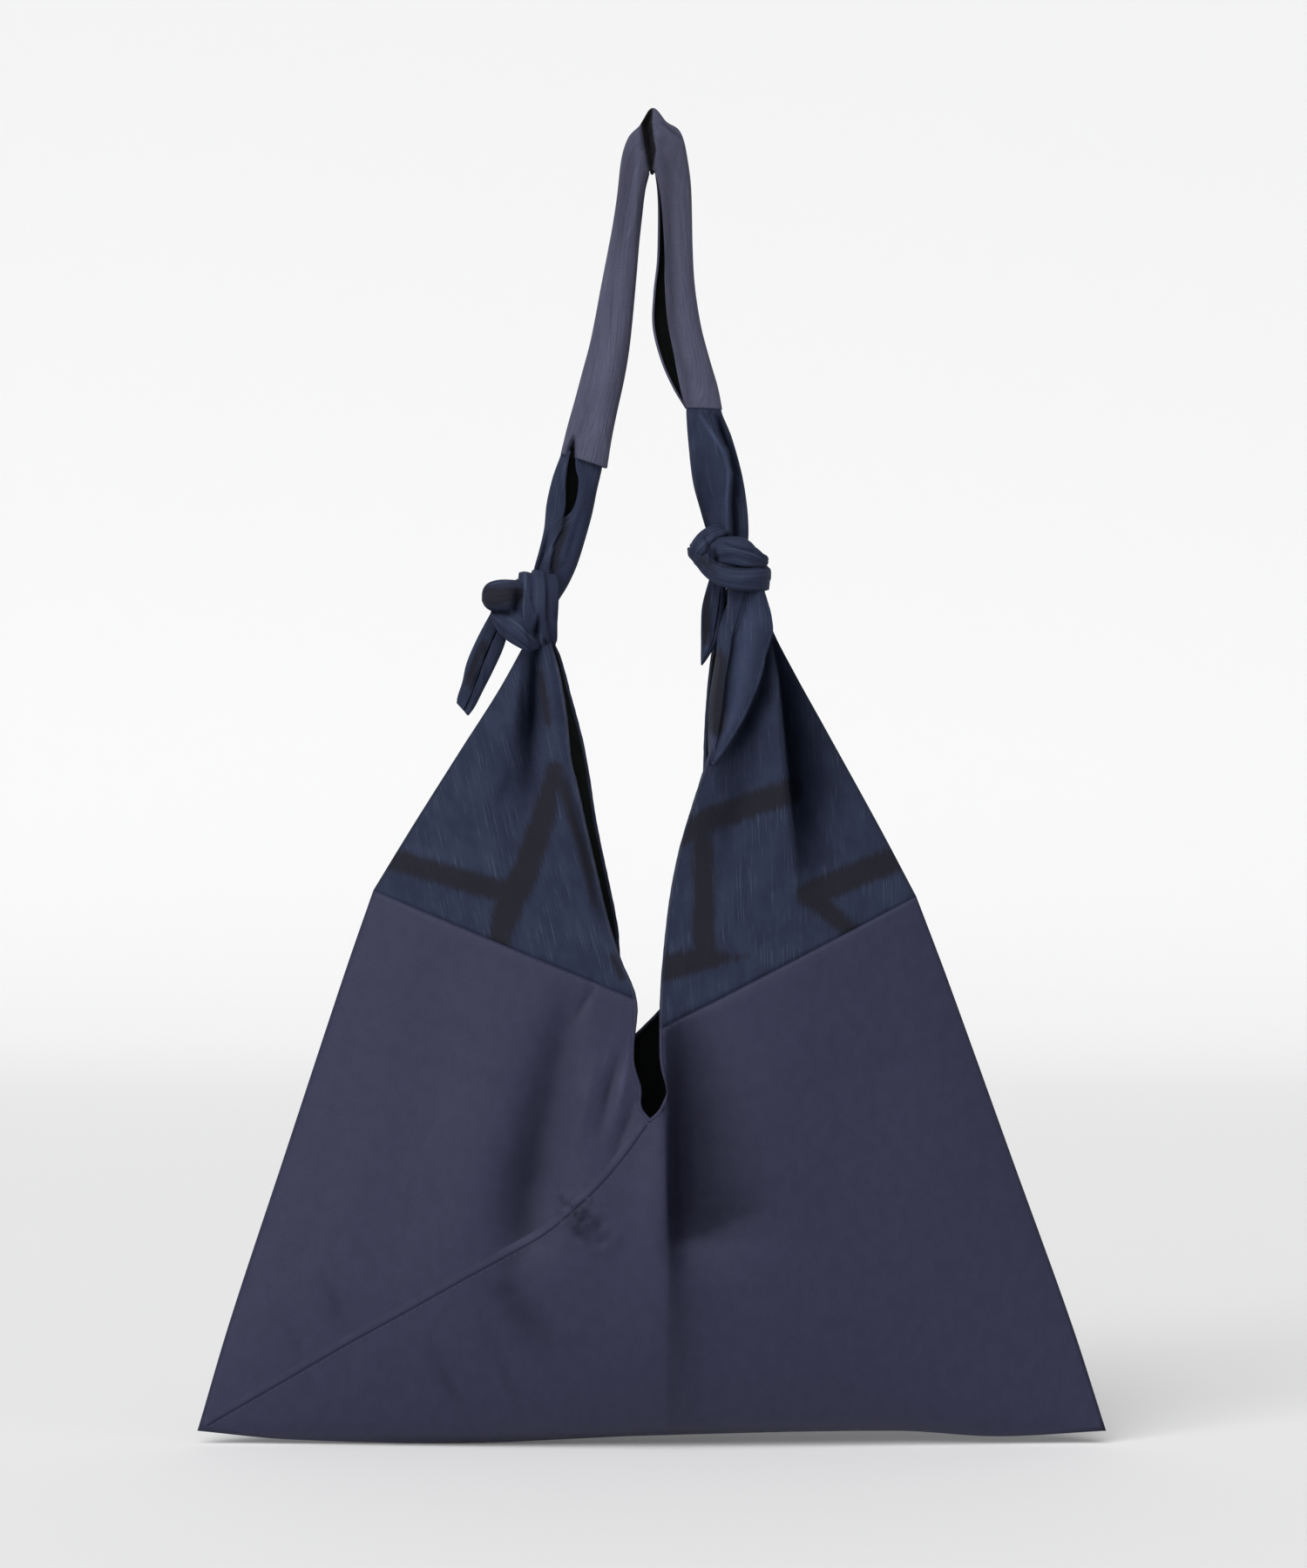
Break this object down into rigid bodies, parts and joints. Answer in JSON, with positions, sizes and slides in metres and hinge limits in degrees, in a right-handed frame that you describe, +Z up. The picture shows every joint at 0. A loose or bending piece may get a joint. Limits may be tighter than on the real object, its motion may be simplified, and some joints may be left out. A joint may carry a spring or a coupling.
{
  "type": "azuma bag",
  "caption": "Triangular azuma shoulder bag of plain cloth with kasuri peaks knotted to a folded shoulder strap, hanging from the strap's top.",
  "frame": {"origin": "underside of the strap's top fold, where the bag hangs", "axes": "+Z up along the bag's height, +X to the right seen from the front, +Y from front to back"},
  "size_m": [0.5214, 0.0911, 0.7663],
  "materials": {
    "plain_cloth": "satin woven cloth, dark navy violet",
    "kasuri_cloth": "matte slubbed indigo cloth with resist-dyed dark bands",
    "strap_cloth": "matte ribbed cloth, greyed navy"
  },
  "bodies": {
    "root": {"bag_body": "plain_cloth", "left_peak": "kasuri_cloth", "right_peak": "kasuri_cloth", "left_knot": "kasuri_cloth", "right_knot": "kasuri_cloth", "left_tail": "kasuri_cloth", "right_tail": "kasuri_cloth", "left_tie": "kasuri_cloth", "right_tie": "kasuri_cloth", "shoulder_strap": "strap_cloth"}
  },
  "joints": []
}
